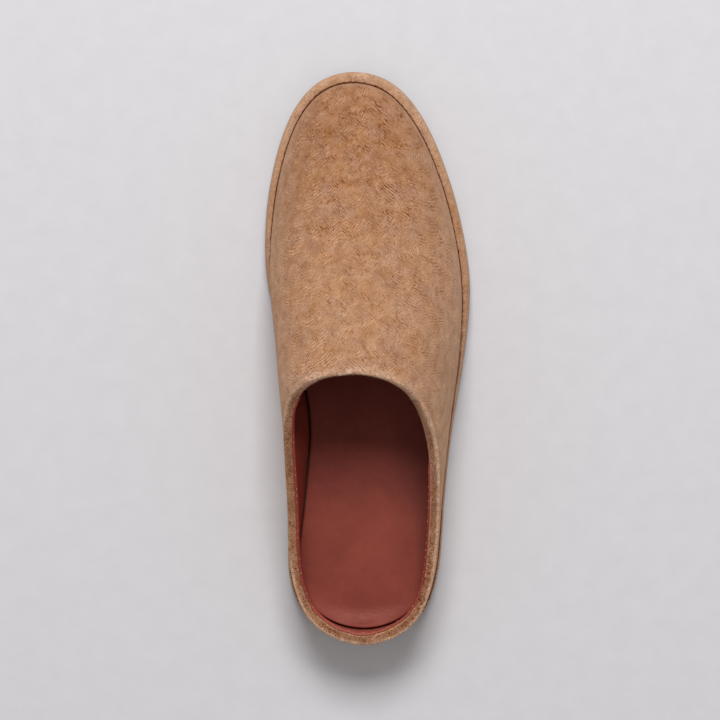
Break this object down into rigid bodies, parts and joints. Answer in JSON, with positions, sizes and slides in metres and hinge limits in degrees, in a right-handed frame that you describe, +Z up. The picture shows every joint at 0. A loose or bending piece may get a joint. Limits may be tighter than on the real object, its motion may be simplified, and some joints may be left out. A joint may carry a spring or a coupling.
{
  "type": "suede mule",
  "caption": "Right-foot slip-on suede mule with a plain vamp, rolled collar, low closed back, russet leather insole and a low sole edged with a suede rand.",
  "frame": {"origin": "on the floor, under the middle of the shoe's outline", "axes": "+Y to the toe, +X to the little-toe side, +Z up"},
  "size_m": [0.1035, 0.285, 0.0877],
  "materials": {
    "suede": "napped tan suede, no gloss",
    "rand_suede": "napped tan suede, no gloss",
    "russet_leather": "smooth russet leather, low sheen",
    "brown_rubber": "matt dark brown rubber"
  },
  "bodies": {
    "root": {"upper": "suede", "rand": "rand_suede", "insole": "russet_leather", "sole": "brown_rubber"}
  },
  "joints": []
}
